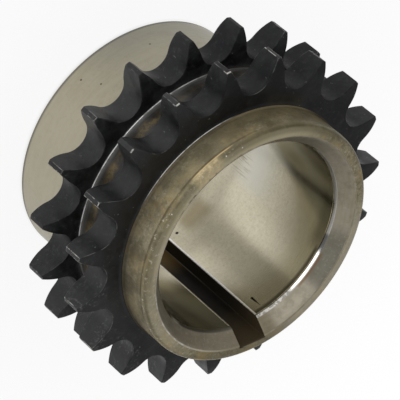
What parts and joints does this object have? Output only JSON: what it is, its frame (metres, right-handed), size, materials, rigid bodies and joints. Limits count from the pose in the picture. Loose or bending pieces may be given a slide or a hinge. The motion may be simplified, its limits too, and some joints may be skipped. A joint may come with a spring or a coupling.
{
  "type": "crankshaft gear",
  "caption": "Steel crankshaft gear with two rows of sprocket teeth for a duplex roller chain, a hub on each side and a keyed bore with a conical lead-in.",
  "frame": {"origin": "on the bore axis, in the plane of the rear end face, on which the part stands", "axes": "+Z along the bore axis, from the rear end towards the lead-in at the front; +Y from the axis through the middle of the keyway"},
  "size_m": [0.0623, 0.0625, 0.0359],
  "materials": {
    "steel": "black oxide on the tooth rows, turned and ground steel on the hub and in the bore"
  },
  "bodies": {
    "root": {"crankshaft_gear": "steel"}
  },
  "joints": []
}
